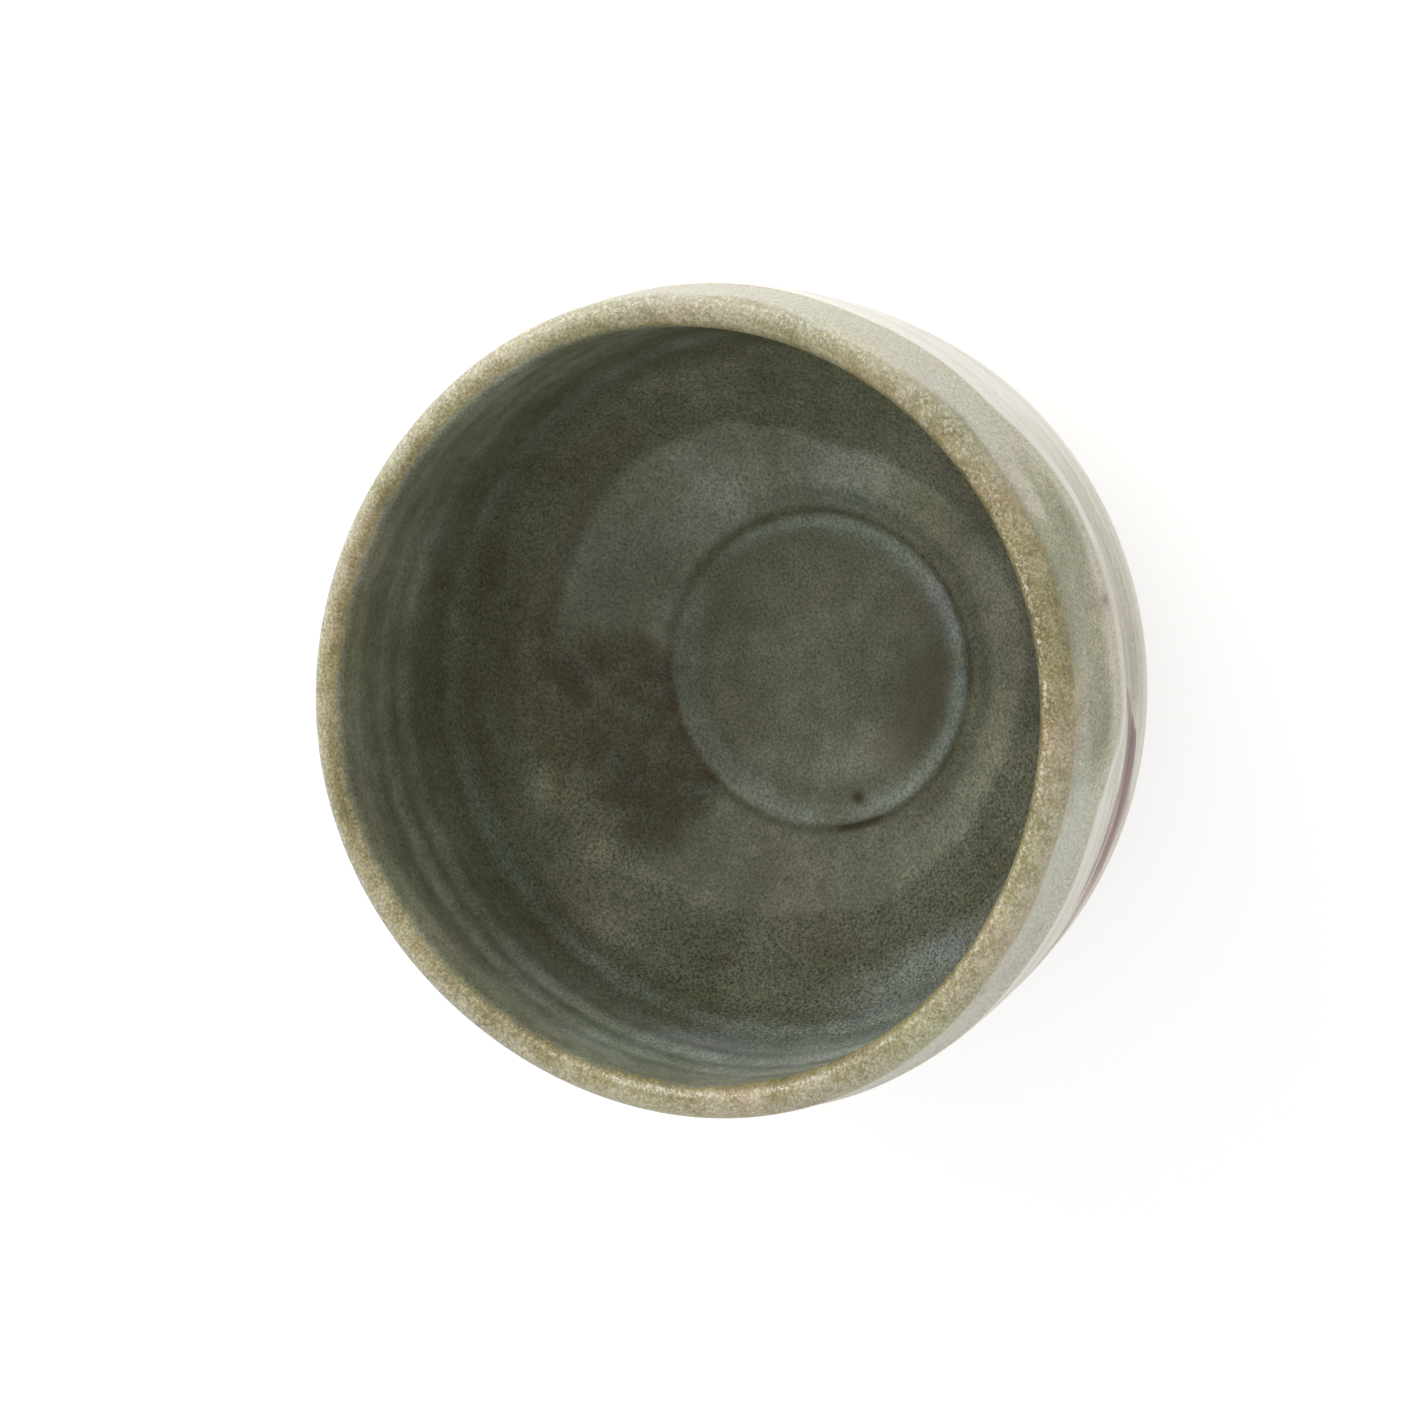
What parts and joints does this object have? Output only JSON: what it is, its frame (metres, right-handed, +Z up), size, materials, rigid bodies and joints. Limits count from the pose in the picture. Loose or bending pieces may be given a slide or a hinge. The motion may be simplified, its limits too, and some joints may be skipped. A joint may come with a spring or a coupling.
{
  "type": "matcha bowl",
  "caption": "Rounded stoneware tea bowl with a turned-in lip, a shallow pool in its floor and a narrow ring foot, for whisking and drinking powdered tea.",
  "frame": {"origin": "centre of the foot's underside, on the surface that the bowl stands on", "axes": "+Z up the bowl's axis from the foot to the mouth; +X and +Y are any two level directions, and the first plum stroke is towards -X and -Y"},
  "size_m": [0.1178, 0.1178, 0.072],
  "materials": {
    "bare_stoneware": "unglazed fired stoneware, fine sandy tan",
    "foot_stoneware": "unglazed fired stoneware, trimmed and wiped",
    "inner_glaze": "grey-green speckled ash glaze, satin to glossy",
    "lip_glaze": "tan glaze with fine pale crystals, satin",
    "outer_glaze": "thin grey-green to beige glaze, satin",
    "slip_coat": "brushed cream-white slip under a thin clear glaze",
    "plum_colour": "plum-red brushed colour under a thin clear glaze"
  },
  "bodies": {
    "root": {"clay_body": "bare_stoneware", "foot_ring": "foot_stoneware", "inner_glaze": "inner_glaze", "lip_glaze": "lip_glaze", "outer_glaze": "outer_glaze", "slip_coat": "slip_coat", "plum_stroke_1": "plum_colour", "plum_stroke_2": "plum_colour", "plum_stroke_3": "plum_colour"}
  },
  "joints": []
}
